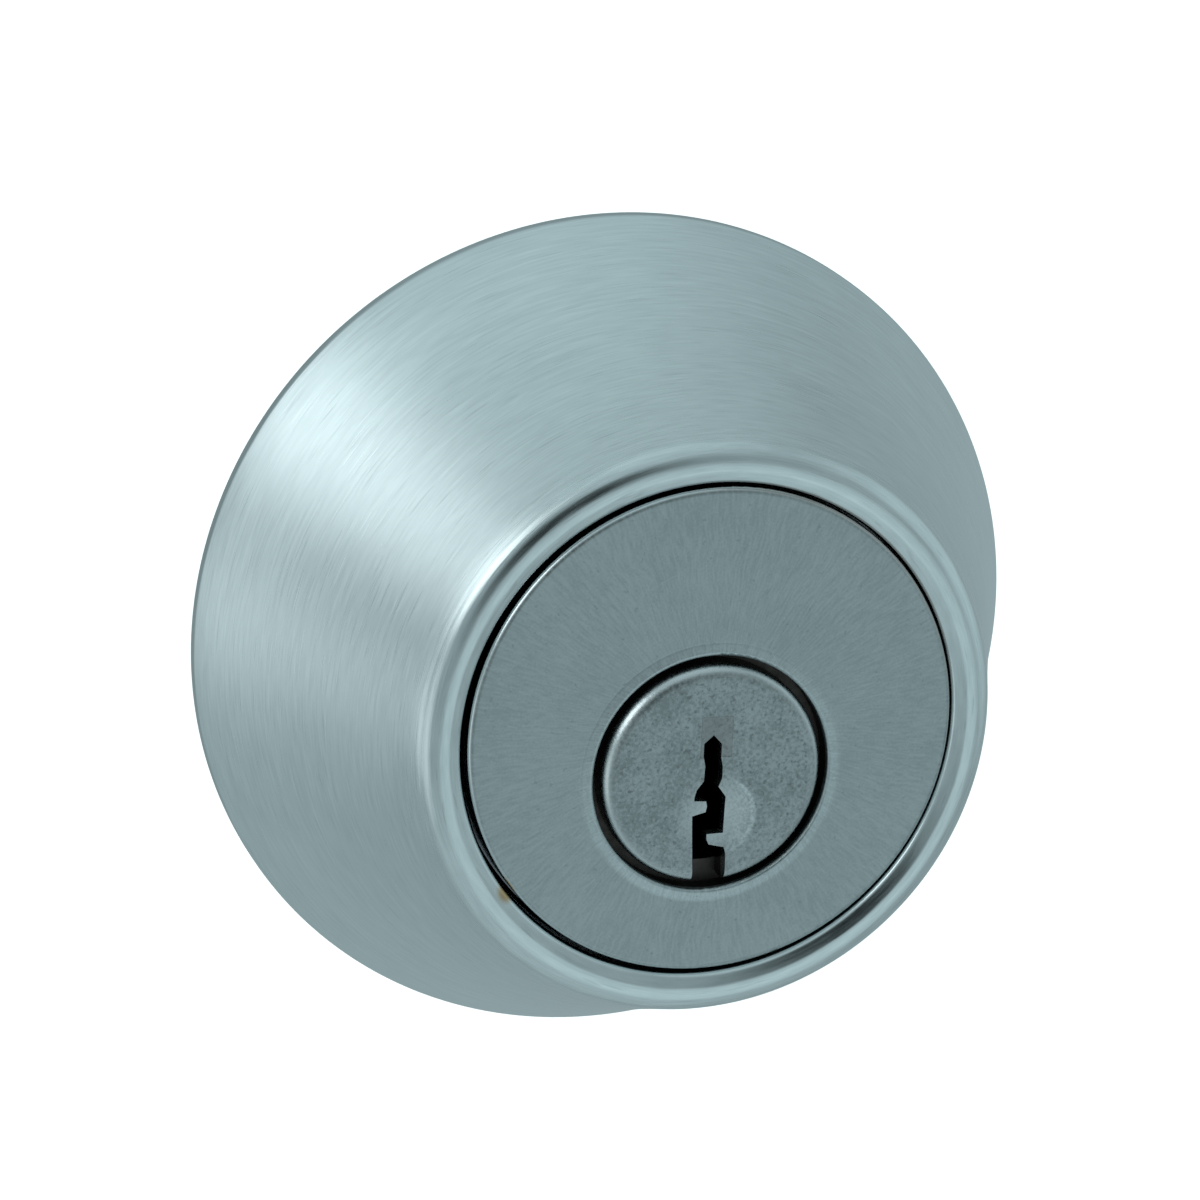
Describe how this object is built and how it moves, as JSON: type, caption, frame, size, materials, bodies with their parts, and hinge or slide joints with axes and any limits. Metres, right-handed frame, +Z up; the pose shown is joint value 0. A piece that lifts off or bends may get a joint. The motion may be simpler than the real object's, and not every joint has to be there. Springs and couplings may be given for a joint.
{
  "type": "deadbolt lock outside cylinder",
  "caption": "Outside keyed unit of a round deadbolt lock: free-spinning tapered guard, pin-tumbler cylinder with an offset plug, threaded posts and a tailpiece.",
  "frame": {"origin": "centre of the cross-bore spigot at the door's outer face, on the guard's axis", "axes": "+Y into the door along the guard's and plug's axes, so the keyed face looks along -Y; +Z up, with the plug below the guard's axis; +X to the right as seen from outside"},
  "size_m": [0.0572, 0.0803, 0.0572],
  "materials": {
    "satin_plated_brass": "satin nickel plate, brushed round the axis",
    "satin_plated_face": "satin nickel plate, finely brushed",
    "satin_plated_plug": "satin nickel plate on brass, fine grain",
    "cast_zinc": "die-cast zinc, as cast",
    "cast_zinc_blade": "die-cast zinc, as cast",
    "hardened_steel": "hardened steel, bright zinc plate",
    "spring_steel": "oiled spring steel",
    "spring_wire": "drawn stainless wire",
    "brass": "turned brass",
    "nylon": "natural nylon"
  },
  "bodies": {
    "housing": {"cylinder_housing": "cast_zinc", "face_cap": "satin_plated_face", "collar": "hardened_steel", "retaining_ring": "spring_steel", "bearing_washer": "nylon", "spring_washer": "spring_steel", "chamber_cover": "brass", "drill_ball_left": "hardened_steel", "drill_ball_right": "hardened_steel", "pin_spring_1": "spring_wire", "pin_spring_2": "spring_wire", "pin_spring_3": "spring_wire", "pin_spring_4": "spring_wire", "pin_spring_5": "spring_wire"},
    "guard": {"guard": "satin_plated_brass"},
    "plug": {"plug": "satin_plated_plug", "plug_clip": "spring_steel", "plug_drill_pin_left": "hardened_steel", "plug_drill_pin_right": "hardened_steel", "tailpiece_retainer": "brass"},
    "tailpiece": {"tailpiece": "cast_zinc_blade"},
    "driver_pin_1": {"driver_pin_1": "brass"},
    "key_pin_1": {"key_pin_1": "brass"},
    "driver_pin_2": {"driver_pin_2": "brass"},
    "key_pin_2": {"key_pin_2": "brass"},
    "driver_pin_3": {"driver_pin_3": "brass"},
    "key_pin_3": {"key_pin_3": "brass"},
    "driver_pin_4": {"driver_pin_4": "brass"},
    "key_pin_4": {"key_pin_4": "brass"},
    "driver_pin_5": {"driver_pin_5": "brass"},
    "key_pin_5": {"key_pin_5": "brass"}
  },
  "joints": [
    {"name": "guard_spin", "type": "hinge", "parent": "housing", "child": "guard", "pos_m": [0, -0.0119, 0], "axis": [0, 1, 0], "continuous": true},
    {"name": "plug_turn", "type": "hinge", "parent": "housing", "child": "plug", "pos_m": [0, -0.0086, -0.00275], "axis": [0, 1, 0], "range_deg": [-90, 90]},
    {"name": "tailpiece_turn", "type": "hinge", "parent": "plug", "child": "tailpiece", "pos_m": [0, 0.0052, -0.00275], "axis": [0, 1, 0], "range_deg": [0, 90]},
    {"name": "tumbler_driver_1_lift", "type": "slide", "parent": "housing", "child": "driver_pin_1", "axis": [0, 0, 1], "range_m": [0, 0.0015], "stiffness_N_per_m": 40, "springref_m": -0.004, "deforming": ["pin_spring_1"]},
    {"name": "tumbler_driver_2_lift", "type": "slide", "parent": "housing", "child": "driver_pin_2", "axis": [0, 0, 1], "range_m": [0, 0.0015], "stiffness_N_per_m": 40, "springref_m": -0.004, "deforming": ["pin_spring_2"]},
    {"name": "tumbler_driver_3_lift", "type": "slide", "parent": "housing", "child": "driver_pin_3", "axis": [0, 0, 1], "range_m": [0, 0.0015], "stiffness_N_per_m": 40, "springref_m": -0.004, "deforming": ["pin_spring_3"]},
    {"name": "tumbler_driver_4_lift", "type": "slide", "parent": "housing", "child": "driver_pin_4", "axis": [0, 0, 1], "range_m": [0, 0.0015], "stiffness_N_per_m": 40, "springref_m": -0.004, "deforming": ["pin_spring_4"]},
    {"name": "tumbler_driver_5_lift", "type": "slide", "parent": "housing", "child": "driver_pin_5", "axis": [0, 0, 1], "range_m": [0, 0.0015], "stiffness_N_per_m": 40, "springref_m": -0.004, "deforming": ["pin_spring_5"]},
    {"name": "tumbler_key_pin_1_drop", "type": "slide", "parent": "plug", "child": "key_pin_1", "axis": [0, 0, 1], "range_m": [-0.00312, 0]},
    {"name": "tumbler_key_pin_2_drop", "type": "slide", "parent": "plug", "child": "key_pin_2", "axis": [0, 0, 1], "range_m": [-0.00195, 0]},
    {"name": "tumbler_key_pin_3_drop", "type": "slide", "parent": "plug", "child": "key_pin_3", "axis": [0, 0, 1], "range_m": [-0.00254, 0]},
    {"name": "tumbler_key_pin_4_drop", "type": "slide", "parent": "plug", "child": "key_pin_4", "axis": [0, 0, 1], "range_m": [-0.00137, 0]},
    {"name": "tumbler_key_pin_5_drop", "type": "slide", "parent": "plug", "child": "key_pin_5", "axis": [0, 0, 1], "range_m": [-0.00254, 0]}
  ]
}
